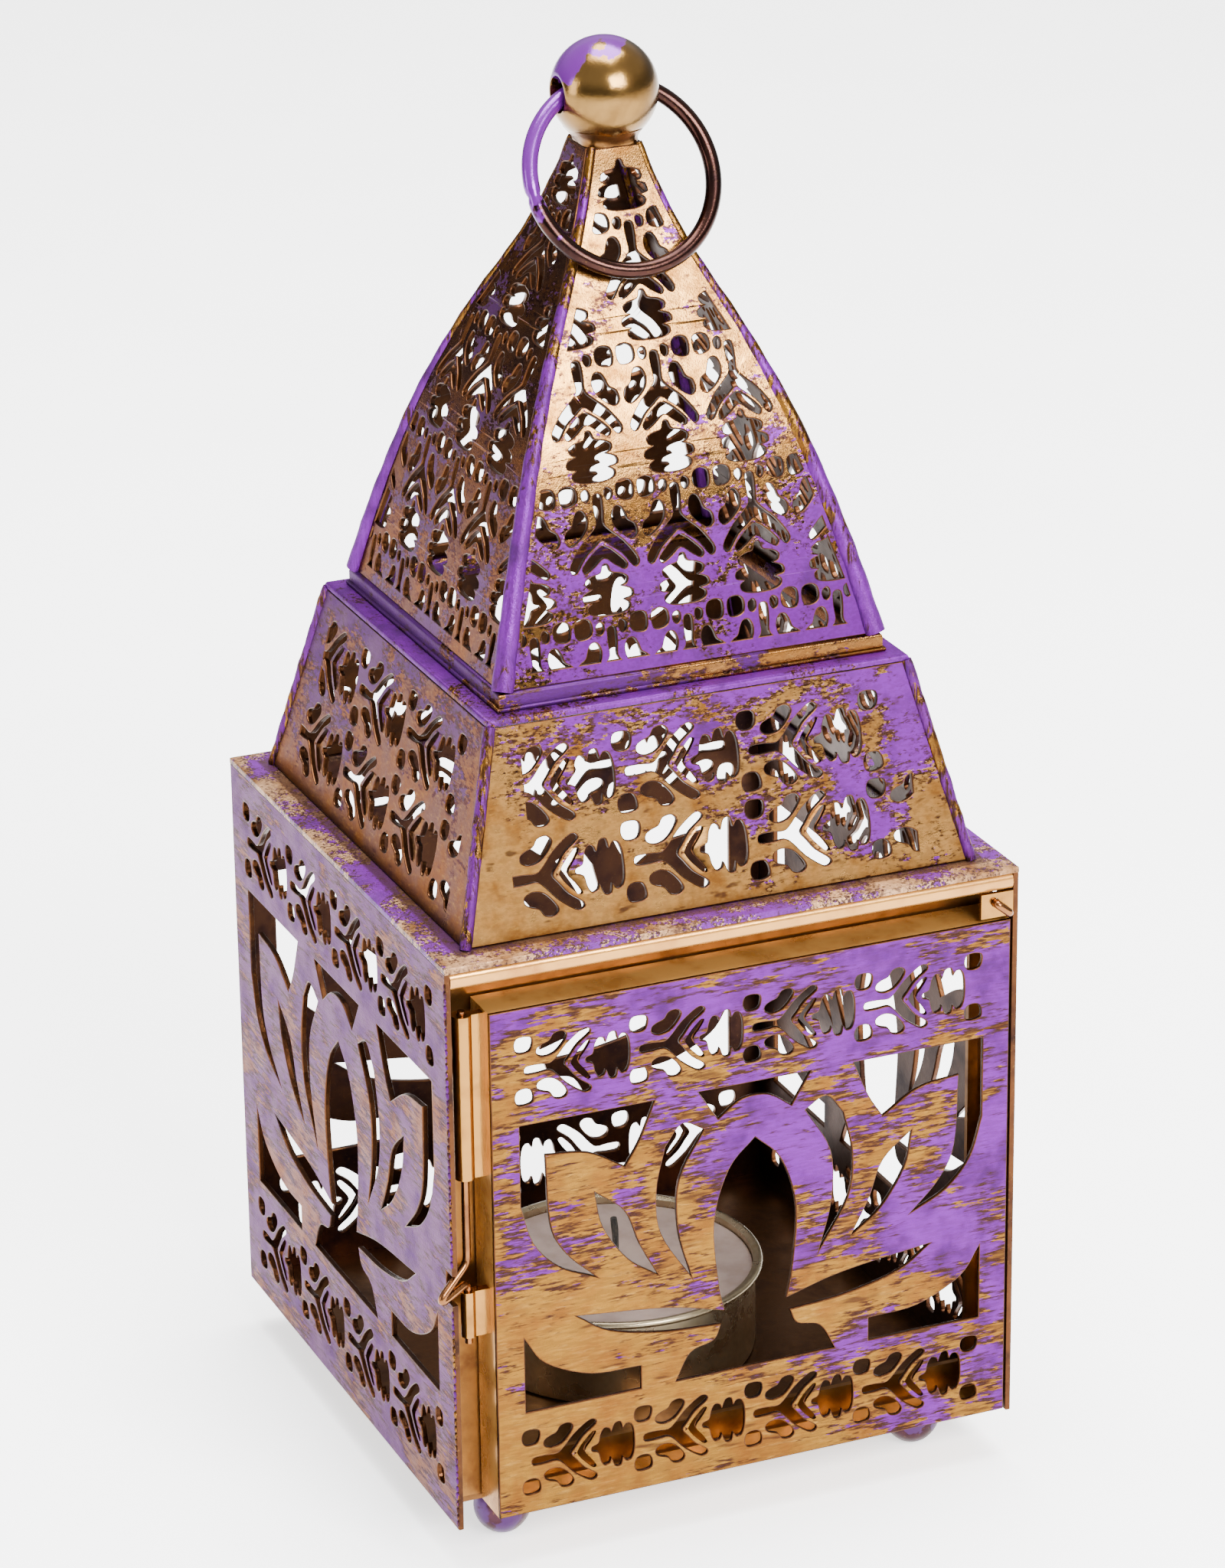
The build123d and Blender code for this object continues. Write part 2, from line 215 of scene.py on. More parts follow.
def patina(name, violet_share, brush, drift=(0, 0, 0), middle=(0, 0, 0), shift=0.0, violet=VIOLET,
           gold=GOLD, patch=9.0, crevice_shade=None, streaks=1.0, rough=0.24, metal=1.0):
    """Brushed brass under ragged patches of violet patina.

    brush stretches the strokes along one axis. drift makes the patina grow along a direction,
    in parts per millimetre from the middle point. Closer to the axis than the reach given for the
    crevice, the sheet is painted dark brown: painted shade in the crevice where the storey above
    stands on it. metal below 1 is a clouded lacquer over the brass."""
    recipe = Recipe(name)
    flow = tuple(1 - 0.45 * (1 - factor) for factor in brush)
    patches = recipe.noise(patch, 3.5, 0.55, stretch=flow, shift=shift, warp=0.3)
    strokes = recipe.noise(0.42, 3.0, 0.65, stretch=brush, shift=shift + 3)
    broad = recipe.noise(1.3, 2.0, 0.6, stretch=brush, shift=shift + 4)
    soft = recipe.noise(4.5, 3.0, 0.6, shift=shift + 5)
    scratches = recipe.noise(0.34, 2.0, 0.6, stretch=brush, shift=shift + 6)
    ragged = recipe.math("ADD", recipe.math("MULTIPLY", strokes, 0.50), recipe.math("MULTIPLY", broad, 0.36))
    level = recipe.math("ADD", recipe.math("SUBTRACT", patches, 0.43), ragged)
    level = recipe.math("ADD", level, recipe.along(drift, middle))
    edge = 1.0 - violet_share
    over = recipe.ramp(level, edge - 0.004, edge + 0.010)
    from_edge = recipe.math("ABSOLUTE", recipe.math("SUBTRACT", level, edge), 0.0)
    near_edge = recipe.ramp(from_edge, 0.02, 0.12, 1.0, 0.2)
    marks = recipe.math("MULTIPLY", near_edge, recipe.ramp(scratches, 0.43, 0.54))

    bare = recipe.mix(recipe.ramp(soft, 0.35, 0.7), gold, DEEP_GOLD)
    bare = recipe.mix(recipe.ramp(strokes, 0.5, 0.75, 0.0, 0.5), bare, PALE_GOLD)
    bare = recipe.mix(recipe.ramp(broad, 0.4, 0.28, 0.0, 0.8), bare, BROWN)
    film = recipe.mix(recipe.ramp(soft, 0.4, 0.75), violet, DEEP_VIOLET)
    film = recipe.mix(recipe.ramp(broad, 0.38, 0.26, 0.0, 0.6), film, BROWN)
    colour = recipe.mix(marks, recipe.mix(over, bare, film), BROWN)
    # painted shade: the sheet turns dark brown close to the crevice where the storey above stands on it
    if crevice_shade:
        reach = recipe.math("ADD", recipe.square_reach(), recipe.math("MULTIPLY", soft, 0.8))
        colour = recipe.mix(recipe.ramp(reach, crevice_shade + 0.2, crevice_shade + 0.7, 0.8, 0.0), colour, BROWN)

    recipe.set(Base_Color=colour, Metallic=recipe.ramp(over, 0.0, 1.0, metal, 0.7 * metal))
    recipe.set(Specular_IOR_Level=0.25, Specular_Tint=(0.62, 0.55, 0.60))
    grain = recipe.math("ADD", recipe.math("MULTIPLY", strokes, 0.6), recipe.noise(0.25, 2.0, 0.6))
    recipe.set(Roughness=recipe.math("ADD", recipe.ramp(soft, 0.2, 0.8, rough, rough + 0.14),
                                     recipe.ramp(over, 0, 1, 0.0, 0.14)))
    dents = recipe.noise(7.0, 1.0, 0.4, shift=shift + 9)
    film_step = recipe.math("MULTIPLY", over, 0.6)
    height = recipe.math("ADD", recipe.math("MULTIPLY", dents, 5.0), recipe.math("ADD", grain, film_step))
    recipe.bump(height, 0.6 * streaks, 0.12)
    return recipe.material


def polished(name, base, deep, wear=0.35, tarnish=None, shift=0.0, brush=(1, 1, 1), rough=0.16, metal=1.0):
    """Polished metal with faint strokes, darker tarnish in clouds and bright worn spots.

    tarnish is (share, direction, middle, stain): a film that grows along a direction. metal below 1
    is a clouded lacquer over the brass."""
    recipe = Recipe(name)
    clouds = recipe.noise(6.0, 3.0, 0.6, shift=shift, warp=0.3)
    strokes = recipe.noise(0.5, 3.0, 0.7, stretch=brush, shift=shift + 2)
    colour = recipe.mix(recipe.ramp(clouds, 0.4, 0.75), base, deep)
    colour = recipe.mix(recipe.ramp(strokes, 0.55, 0.8, 0.0, wear), colour, PALE_GOLD)
    colour = recipe.mix(recipe.ramp(strokes, 0.4, 0.25, 0.0, wear), colour, BROWN)
    if tarnish:
        share, direction, middle, stain = tarnish
        blotches = recipe.noise(4.0, 3.0, 0.5, shift=shift + 4)
        level = recipe.math("ADD", blotches, recipe.along(direction, middle))
        over = recipe.ramp(level, 1 - share, 1.04 - share)
        colour = recipe.mix(over, colour, stain)
        recipe.set(Metallic=recipe.ramp(over, 0, 1, metal, 0.5))
    else:
        recipe.set(Metallic=recipe.ramp(clouds, 0.3, 0.7, metal, metal * 0.96))
    recipe.set(Base_Color=colour, Roughness=recipe.ramp(clouds, 0.3, 0.8, rough, rough + 0.16))
    recipe.bump(recipe.math("ADD", strokes, recipe.noise(3.0, 2.0, 0.5)), 0.25, 0.08)
    return recipe.material


def wax_material():
    recipe = Recipe("candle_wax_look")
    clouds = recipe.noise(5.0, 3.0, 0.6)
    colour = recipe.mix(recipe.ramp(clouds, 0.35, 0.7), (0.36, 0.265, 0.225), (0.27, 0.19, 0.16))
    recipe.set(Base_Color=colour, Roughness=recipe.ramp(clouds, 0.3, 0.7, 0.38, 0.55))
    recipe.set(Subsurface_Weight=0.25, Subsurface_Radius=(0.004, 0.003, 0.002))
    recipe.bump(recipe.noise(2.2, 3.0, 0.5), 0.25, 0.15)
    return recipe.material


def wick_material():
    recipe = Recipe("charred_wick")
    fibre = recipe.noise(0.25, 2.0, 0.6, stretch=(1, 1, 0.25))
    colour = recipe.mix(recipe.ramp(fibre, 0.35, 0.7), (0.008, 0.007, 0.006), (0.05, 0.04, 0.03))
    recipe.set(Base_Color=colour, Roughness=recipe.ramp(fibre, 0.3, 0.7, 0.8, 0.95))
    recipe.bump(fibre, 0.8, 0.15)
    return recipe.material


def floor_material():
    recipe = Recipe("pale_floor")
    cloud = recipe.noise(60.0, 2.0, 0.5)
    colour = recipe.mix(recipe.ramp(cloud, 0.3, 0.7), (0.96, 0.96, 0.96), (0.93, 0.93, 0.93))
    recipe.set(Base_Color=colour, Roughness=0.9, Emission_Color=(1, 1, 1), Emission_Strength=1.4)
    return recipe.material


ALONG_X = (0.15, 1, 1)
ALONG_Y = (1, 0.15, 1)
ALONG_Z = (1, 1, 0.12)
SIDE_BRUSH = {"front": ALONG_X, "right": ALONG_Y, "back": ALONG_X, "left": ALONG_Y}

# painted shade: the cut edges of the holes are near black, standing in for the shade on the sheet's thin
# side walls
shaded_cut_edge = polished("shaded_cut_edge", (0.07, 0.026, 0.010), (0.014, 0.006, 0.005), 0.4, shift=1.0, rough=0.3)
# painted shade: the back faces of the sheets inside the lantern get very dark brass, standing in for the
# shade inside it
inside_shade_brass = polished("inside_shade_brass", (0.055, 0.024, 0.014), (0.018, 0.008, 0.010), 0.15, shift=2.0,
                        rough=0.34)
inside_shade_dark = polished("inside_shade_dark", (0.05, 0.02, 0.008), (0.018, 0.008, 0.006), 0.15, shift=2.5,
                       rough=0.34)
# painted shade: the floor plate inside the lantern is darkened brass, standing in for the shade inside
shaded_floor_brass = polished("shaded_floor_brass", (0.14, 0.062, 0.02), (0.055, 0.022, 0.010), 0.3, shift=4.0, rough=0.3)
frame_brass = polished("frame_brass", (0.22, 0.10, 0.025), (0.09, 0.035, 0.011), 0.3, shift=3.0, rough=0.3)
door_gold = patina("door_brass", 0.483, ALONG_X, (0.0021, 0, 0.0026), (0, 0, 44), 11.0, patch=8.0)
# the side and back walls use the shaded copies of violet and gold: painted shade
wall_look = {side: patina(f"{side}_wall_brass", 0.55, SIDE_BRUSH[side], (0, 0, 0.001), (0, 0, 45),
                          20.0 + turn / 90, violet=SHADED_MAUVE, gold=SHADED_DULL_GOLD)
             for side, turn in SIDES.items() if side != "front"}
# painted light and shade: the front skirt and dome get a brighter gold, the other sides darker and duller
# copies of the violet and gold, for how the light falls on them
LIT_FRONT_TONES = {"violet": VIOLET, "gold": (0.36, 0.18, 0.05)}
SHADED_TONES = {"violet": (0.06, 0.016, 0.072), "gold": (0.088, 0.046, 0.026)}
SIDE_TONES = {side: LIT_FRONT_TONES if side == "front" else SHADED_TONES for side in SIDES}
skirt_look = {side: patina(f"{side}_skirt_brass", 0.50, (0.4, 0.4, 1), (0.0035, 0.002, 0.011), (0, 0, 99),
                           29.2 + turn / 90, patch=6.0, streaks=0.25, rough=0.24, **SIDE_TONES[side])
              for side, turn in SIDES.items()}
dome_look = {side: patina(f"{side}_dome_brass", 0.50, (0.6, 0.6, 1),
                          (0.002, 0, -0.0065 if side == "front" else -0.0015), (0, 0, 138),
                          40.0 + turn / 90, patch=7.0, streaks=0.2, rough=0.13, **SIDE_TONES[side])
             for side, turn in SIDES.items()}
ridge_violet = patina("ridge_violet", 0.60, ALONG_Z, (0, 0, -0.0045), (0, 0, 138), 50.0, patch=5.0)
bead_violet = patina("bead_violet", 0.54, ALONG_Z, shift=51.0, violet=(0.08, 0.009, 0.13), patch=4.0)
# the ledge and the shoulder get painted shade in the crevice at the foot of the skirt and of the rim
ledge_brass = patina("ledge_brass", 0.50, (1, 1, 1), shift=55.0, gold=(0.42, 0.235, 0.12), crevice_shade=37.0,
                     metal=0.3)
shoulder_brass = patina("shoulder_brass", 0.62, (1, 1, 1), shift=57.0, crevice_shade=26.8)
rail_gold = polished("rail_gold", (0.50, 0.235, 0.05), (0.30, 0.115, 0.02), 0.3, shift=5.0, brush=ALONG_X,
                     metal=0.6)
# the violet film is patina, and its growth towards the left in deep violet is painted shade on the rim's
# shaded left side
rim_brass = patina("rim_brass", 0.50, (0.4, 0.4, 1), (-0.004, 0, 0), shift=5.5, violet=DEEP_VIOLET,
                   gold=(0.14, 0.062, 0.018), patch=6.0, streaks=0.5, rough=0.2)
edge_gold = polished("door_edge_gold", (0.48, 0.23, 0.055), (0.25, 0.10, 0.02), 0.4, shift=6.0,
                     brush=ALONG_Z, metal=0.6)
tube_gold = polished("tube_gold", (0.32, 0.15, 0.034), (0.15, 0.06, 0.014), 0.3, shift=7.0, brush=ALONG_Z)
neck_gold = polished("neck_gold", (0.16, 0.072, 0.02), (0.05, 0.02, 0.008), 0.5,
                     (0.34, (0, 0.03, -0.02), (0, 0, 178), DEEP_VIOLET), 7.5, rough=0.24)
ball_gold = polished("ball_gold", (0.19, 0.105, 0.031), (0.10, 0.05, 0.014), 0.2,
                     (0.39, (-0.03, 0.02, 0.075), (0, 0, 188), VIOLET), 8.0, rough=0.14)
wire_bronze = polished("wire_bronze", (0.22, 0.09, 0.03), (0.08, 0.03, 0.014), 0.4, shift=9.0)
ring_bronze = polished("ring_bronze", (0.035, 0.015, 0.012), (0.012, 0.006, 0.006), 0.2,
                       (0.45, (-0.03, 0, 0.035), (-6, 0, 174), VIOLET), 10.0, rough=0.15)
foot_bronze = polished("foot_bronze", (0.06, 0.026, 0.036), (0.026, 0.011, 0.016), 0.4,
                       (0.5, (0, 0, 0.02), (0, 0, 4), DEEP_VIOLET), 12.0, rough=0.3)
cup_metal = polished("cup_metal", (0.45, 0.37, 0.24), (0.30, 0.23, 0.13), 0.0, shift=14.0, brush=ALONG_Z,
                     rough=0.24)
wax_look = wax_material()
wick_look = wick_material()


# -------------------- smooth lines
def smooth_run(points, steps=5):
    """An open smooth line through the points (Catmull-Rom), without its last point."""
    points = [Vector(point) for point in points]
    padded = [2 * points[0] - points[1]] + points + [2 * points[-1] - points[-2]]
    line = []
    for before, start, end, after in zip(padded, padded[1:], padded[2:], padded[3:]):
        for step in range(steps):
            t = step / steps
            line.append(0.5 * (2 * start + (end - before) * t
                               + (2 * before - 5 * start + 4 * end - after) * t ** 2
                               + (3 * start - before - 3 * end + after) * t ** 3))
    return line


def smooth_loop(points, steps=4):
    """A closed smooth line through the points."""
    points = [Vector(point) for point in points]
    wrapped = [points[-1]] + points + points[:2]
    run = smooth_run(wrapped, steps)
    return run[steps:-steps]


def outline(*runs):
    """A closed outline made of smooth runs, each of which starts where the one before it ends."""
    return [point for run in runs for point in (smooth_run(run) if len(run) > 2 else [Vector(run[0])])]


def mirrored(loop):
    return [Vector((-point.x, point.y)) for point in reversed(loop)]


def flipped(points):
    return [(x, -y) for x, y in reversed(points)]


# -------------------- the lotus openings
LOTUS_WIDTH, LOTUS_HEIGHT = 65.4, 40.8


def corner_opening():
    return outline(
        [(14.1, 40.8), (32.7, 40.8)], [(32.7, 40.8), (32.7, 29.5)],
        [(32.7, 29.5), (31.0, 24.0), (27.5, 20.0), (22.6, 17.6)],
        [(22.6, 17.6), (26.6, 21.6), (28.8, 26.4), (29.3, 36.2)],
        [(29.3, 36.2), (23.4, 35.4), (18.3, 32.4)],
        [(18.3, 32.4), (16.2, 35.8), (14.1, 40.8)])


def outer_leaf():
    return outline([(22.5, 29.5), (21.4, 24.4), (18.0, 19.2), (13.9, 16.1)],
                   [(13.9, 16.1), (16.4, 20.9), (18.4, 26.0), (22.5, 29.5)])


def inner_leaf():
    return outline([(7.2, 35.4), (10.2, 36.8), (12.6, 34.0)],
                   [(12.6, 34.0), (13.9, 28.0), (13.3, 21.8), (9.2, 14.9)],
                   [(9.2, 14.9), (11.0, 21.8), (10.8, 29.0), (7.2, 35.4)])


def crown_opening():
    return outline([(5.2, 36.5), (7.9, 40.8)], [(7.9, 40.8), (-7.9, 40.8)], [(-7.9, 40.8), (-5.2, 36.5)],
                   [(-5.2, 36.5), (-1.9, 38.7), (1.9, 38.7), (5.2, 36.5)])


def heart_opening():
    """The tall middle petal, its stem and foot, and the two long leaves beside the stem."""
    right = outline([(0.0, 32.9), (3.7, 29.0), (5.8, 21.8), (5.2, 13.0), (4.4, 8.8)],
                    [(4.4, 8.8), (12.7, 10.9), (25.2, 12.4)],
                    [(25.2, 12.4), (20.6, 9.4), (13.0, 7.6), (4.9, 7.0)],
                    [(4.9, 7.0), (6.0, 4.8), (9.3, 3.7), (11.4, 0.0)])
    return right + [Vector((11.4, 0.0))] + mirrored(right[1:] + [Vector((11.4, 0.0))])


def wedge_opening():
    return outline([(16.4, 3.3), (16.4, 0.0)], [(16.4, 0.0), (32.6, 0.0)], [(32.6, 0.0), (32.6, 10.5)],
                   [(32.6, 10.5), (29.8, 6.6), (23.5, 3.7), (16.4, 3.3)])


def lotus(centre, bottom, width, height):
    """All the lotus openings of one panel, in a window of the given width and height."""
    right = [corner_opening(), outer_leaf(), inner_leaf(), wedge_opening()]
    loops = [crown_opening(), heart_opening()] + right + [mirrored(loop) for loop in right]
    wide, tall = width / LOTUS_WIDTH, height / LOTUS_HEIGHT
    return [[Vector((centre + p.x * wide, bottom + p.y * tall)) for p in loop] for loop in loops]


# -------------------- the filigree motif
# One motif of a filigree band, drawn from its pair of dots (u = 0) to the end of its crown.
PERIOD = 15.8
CROWN_MIDDLE = 11.6
DOT = [(-1.2, 3.9), (-0.9, 4.9), (0.1, 5.1), (1.1, 4.8), (1.2, 3.8), (0.8, 2.9), (-0.1, 2.7), (-0.9, 3.0)]
SEED = [(-0.5, 1.5), (-0.1, 2.1), (0.7, 2.0), (0.95, 1.5), (0.5, 1.1), (-0.2, 1.1)]
LEAF = [(1.9, 2.2), (2.9, 1.7), (4.2, 2.0), (5.3, 3.1), (5.9, 4.3), (5.3, 5.0), (4.2, 4.8), (3.6, 3.9),
        (2.6, 3.5), (1.9, 3.0)]
ARROW_HALF = [(0.3, 0.5), (2.0, 0.6), (3.6, 0.5), (4.6, 1.3), (6.0, 3.0), (8.0, 4.6), (8.9, 4.7), (9.1, 4.0),
              (7.4, 2.6), (6.3, 1.1), (5.6, 0.0)]
CHEVRON_HALF = [(6.2, 0.0), (6.8, 1.1), (7.8, 2.3), (8.7, 3.1), (9.3, 2.7), (8.6, 1.4), (7.7, 0.0)]
CROWN_HALF = [(8.6, 0.3), (9.5, 0.7), (9.8, 2.0), (10.3, 2.9), (11.0, 2.7), (11.3, 2.0), (11.8, 3.3),
              (12.6, 3.4), (12.9, 2.2), (13.4, 2.9), (14.1, 2.7), (14.5, 1.3)]


def motif(seeds=False):
    """The holes of one motif as closed smooth loops."""
    holes = [DOT, flipped(DOT), LEAF, flipped(LEAF)]
    if seeds:
        holes += [SEED, flipped(SEED)]
    holes += [ARROW_HALF + flipped(ARROW_HALF)[1:]]
    holes += [CHEVRON_HALF[1:] + flipped(CHEVRON_HALF)[1:] + [CHEVRON_HALF[0]]]
    holes += [CROWN_HALF + flipped(CROWN_HALF)]
    return [smooth_loop(hole, 3) for hole in holes]


def end_dots():
    return [smooth_loop(hole, 3) for hole in (DOT, flipped(DOT))]


def area(loop):
    return abs(sum(a.x * b.y - b.x * a.y for a, b in zip(loop, loop[1:] + loop[:1]))) / 2


def band(place, count, last_dots=True, seeds=False):
    """The holes of a row of motifs. place turns (u, v) into a point of the sheet."""
    holes = []
    for index in range(count):
        for loop in motif(seeds):
            holes.append([place(p.x + index * PERIOD, p.y) for p in loop])
    if last_dots:
        holes += [[place(p.x + count * PERIOD, p.y) for p in loop] for loop in end_dots()]
    return holes


def cut_back(loop, limit, side):
    """The part of a loop that lies inside side * x = limit(y)."""
    def beyond(point):
        return side * point.x - limit(point.y)
    kept = []
    for here, after in zip(loop, loop[1:] + loop[:1]):
        if beyond(here) <= 0:
            kept.append(here)
        if (beyond(here) <= 0) != (beyond(after) <= 0):
            kept.append(here.lerp(after, beyond(here) / (beyond(here) - beyond(after))))
    return kept


def cut_below(loop, level):
    """The part of a loop that lies above y = level."""
    turned_loop = [Vector((-point.y, point.x)) for point in loop]
    return [Vector((point.y, -point.x)) for point in cut_back(turned_loop, lambda y: -level, 1)]


def without_spikes(loop):
    """Drops points where the line turns back on itself or repeats a place."""
    loop = list(loop)
    index = 0
    while index < len(loop) and len(loop) > 3:
        before, here, after = loop[index - 1], loop[index], loop[(index + 1) % len(loop)]
        short = (here - before).length < 0.06
        if short or (here - before).angle(after - here, math.pi) > math.radians(140):
            loop.pop(index)
            index = max(0, index - 2)
        else:
            index += 1
    return loop


def trimmed(holes, limit, least=0.3):
    """Holes cut back to |x| <= limit(y). A hole that loses most of its area is left out."""
    kept = []
    for loop in holes:
        cut = cut_back(cut_back(loop, limit, 1), limit, -1)
        if len(cut) > 3 and area(cut) > least * area(loop) and area(cut) > 0.4:
            kept.append(without_spikes(cut))
    return kept


# -------------------- mesh making
def finished(name, mesh, body, stands_for, materials, smooth_angle=35):
    """Makes a millimetre mesh into a piece of the lantern."""
    mesh.transform(Matrix.Scale(MM, 4))
    for material in materials:
        mesh.materials.append(material)
    piece = bpy.data.objects.new(name, mesh)
    bpy.context.scene.collection.objects.link(piece)
    mesh.shade_smooth()
    mesh.set_sharp_from_angle(angle=math.radians(smooth_angle))
    if stands_for:
        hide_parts(*stands_for)
    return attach(piece, body)


EDGE_ROUND = 0.15


def curve_sheet(loops, thickness):
    """A flat sheet with holes and softened edges, from z = -thickness to z = 0."""
    curve = bpy.data.curves.new("sheet", "CURVE")
    curve.dimensions = "2D"
    curve.fill_mode = "BOTH"
    curve.extrude = thickness / 2 - EDGE_ROUND
    curve.bevel_depth = EDGE_ROUND
    curve.bevel_resolution = 1
    curve.offset = -EDGE_ROUND
    for loop in loops:
        spline = curve.splines.new("POLY")
        spline.points.add(len(loop) - 1)
        for point, place in zip(spline.points, loop):
            point.co = (place[0], place[1], 0, 1)
        spline.use_cyclic_u = True
    holder = bpy.data.objects.new("sheet", curve)
    mesh = bpy.data.meshes.new_from_object(holder)
    bpy.data.objects.remove(holder)
    bpy.data.curves.remove(curve)
    mesh.transform(Matrix.Translation((0, 0, -thickness / 2)))
    return mesh


def pierced_sheet(name, loops, thickness, place, body, stands_for, look, back, cuts=()):
    """A pierced sheet. place turns (x, y, depth) of the flat sheet into a point of the lantern."""
    mesh = curve_sheet(loops, thickness)
    work = bmesh.new()
    work.from_mesh(mesh)
    bmesh.ops.remove_doubles(work, verts=work.verts, dist=0.002)
    for level in cuts:
        bmesh.ops.bisect_plane(work, geom=work.verts[:] + work.edges[:] + work.faces[:],
                               plane_co=(0, level, 0), plane_no=(0, 1, 0))
    work.normal_update()
    for face in work.faces:
        face.material_index = 0 if face.normal.z > 0.97 else 2 if face.normal.z < -0.97 else 1
    outward = []
    for vertex in work.verts:
        x, y, depth = vertex.co
        outward.append((place(x, y, 0.1) - place(x, y, 0.0)).normalized())
        vertex.co = place(x, y, depth)
    work.to_mesh(mesh)
    work.free()
    piece = finished(name, mesh, body, stands_for, [look, shaded_cut_edge, back])
    lay_normals(piece.data, outward)
    return piece


def lay_normals(mesh, outward):
    """Shades both faces of a sheet by the surface they lie on, and each facet of a cut edge by itself."""
    normals = []
    for face in mesh.polygons:
        for corner in face.loop_indices:
            away = outward[mesh.loops[corner].vertex_index]
            normals.append((away, face.normal, -away)[face.material_index])
    mesh.normals_split_custom_set(normals)


def turned(side, point):
    return Matrix.Rotation(math.radians(SIDES[side]), 3, "Z") @ Vector(point)


def grid_mesh(name, rows, closed_rows=True, closed_columns=False):
    """A mesh over rows of points, where each row has the same number of points."""
    count = len(rows[0])
    vertices = [Vector(point) for row in rows for point in row]
    faces = []
    row_count = len(rows) if closed_columns else len(rows) - 1
    for i in range(row_count):
        here, above = i * count, ((i + 1) % len(rows)) * count
        for j in range(count if closed_rows else count - 1):
            after = (j + 1) % count
            faces.append((here + j, here + after, above + after, above + j))
    if closed_rows and not closed_columns:
        faces.append(tuple(reversed(range(count))))
        faces.append(tuple(range((len(rows) - 1) * count, len(rows) * count)))
    mesh = bpy.data.meshes.new(name)
    mesh.from_pydata(vertices, [], faces)
    return mesh


def lathe(profile, segments=72, closed=False, wobble=None):
    """Turns a profile of (radius, height) about the Z axis. wobble changes a radius by its angle."""
    rows = []
    for radius, height in profile:
        row = []
        for step in range(segments):
            angle = 2 * math.pi * step / segments
            reach = radius + (wobble(angle, radius, height) if wobble else 0)
            row.append((reach * math.cos(angle), reach * math.sin(angle), height))
        rows.append(row)
    return grid_mesh("lathe", rows, closed_columns=closed)


def tube_along(points, radii, sides=14, closed=False):
    """A round tube along a line of points, with one radius for each point."""
    points = [Vector(point) for point in points]
    count = len(points)
    normal = None
    rows = []
    for i, point in enumerate(points):
        before = points[i - 1] if closed or i > 0 else points[0]
        after = points[(i + 1) % count] if closed or i < count - 1 else points[-1]
        tangent = (after - before).normalized()
        if normal is None:
            normal = tangent.orthogonal().normalized()
        normal = (normal - tangent * normal.dot(tangent)).normalized()
        across = tangent.cross(normal)
        angles = [2 * math.pi * k / sides for k in range(sides)]
        rows.append([point + radii[i] * (normal * math.cos(a) + across * math.sin(a)) for a in angles])
    return grid_mesh("tube", rows, closed_columns=closed)


def rounded_path(points, bend, steps=5):
    """Straight runs joined by a curve at each inner point."""
    points = [Vector(point) for point in points]
    path = [points[0]]
    for before, corner, after in zip(points, points[1:], points[2:]):
        start = corner + (before - corner).normalized() * min(bend, (before - corner).length / 2)
        end = corner + (after - corner).normalized() * min(bend, (after - corner).length / 2)
        for step in range(steps + 1):
            t = step / steps
            path.append(start * (1 - t) ** 2 + corner * 2 * t * (1 - t) + end * t ** 2)
    return path + [points[-1]]


def rectangle_loop(profile, corners, place):
    """A frame with mitred corners. profile has (inset, depth), corners the four outer corners."""
    middle = sum((Vector(corner) for corner in corners), Vector((0, 0))) / len(corners)
    rows = []
    for inset, depth in profile:
        row = []
        for x, y in corners:
            inward = Vector((math.copysign(inset, middle.x - x), math.copysign(inset, middle.y - y)))
            row.append(place(x + inward.x, y + inward.y, depth))
        rows.append(row)
    return grid_mesh("frame", rows, closed_columns=True)


def square_corners(half):
    return [(-half, -half), (half, -half), (half, half), (-half, half)]


# -------------------- body panels and door
# heights of the filigree bands above the bottom of the body
WALL_BANDS = (9.6, 69.2)
DOOR_BANDS = (7.65, 63.35)


def wall_place(side):
    return lambda x, z, depth: turned(side, (x, -body_half - depth, z))


def wall_panel(side):
    half = body_half - 0.02 if side in ("left", "right") else body_half - sheet
    edges = [(-half, body_z), (half, body_z), (half, panel_top), (-half, panel_top)]
    if side == "left":
        notch_low, notch_high, notch_depth = body_z + 32.4, body_z + 36.6, 2.1
        edges[1:3] = [(half, body_z), (half, notch_low), (half - notch_depth, notch_low),
                      (half - notch_depth, notch_high), (half, notch_high), (half, panel_top)]
    wide, tall = 17.0 / PERIOD, 1.06
    holes = lotus(0.0, body_z + 17.6, 68.9, 44.0)
    for level in WALL_BANDS:
        middle = body_z + level
        holes += band(lambda u, v: Vector((u * wide - 34.0, middle + v * tall)), 4)
    return pierced_sheet(f"{side}_pierced_wall", [edges] + holes, sheet, wall_place(side), "lantern",
                         [f"{side}_panel"], wall_look[side], inside_shade_brass)


def door_sheet_piece():
    centre = (door_low.x + door_high.x) / 2
    edges = [(door_low.x, door_low.z), (door_high.x, door_low.z),
             (door_high.x, door_high.z), (door_low.x, door_high.z)]
    holes = lotus(centre, body_z + 15.0, 65.4, 40.8)
    start = centre - 2 * PERIOD - 0.4
    for level in DOOR_BANDS:
        middle = body_z + level
        holes += band(lambda u, v: Vector((u + start, middle + v * 0.92)), 4)
    return pierced_sheet("door_pierced_sheet", [edges] + holes, door_sheet, wall_place("front"), "door",
                         ["door_panel"], door_gold, inside_shade_brass)


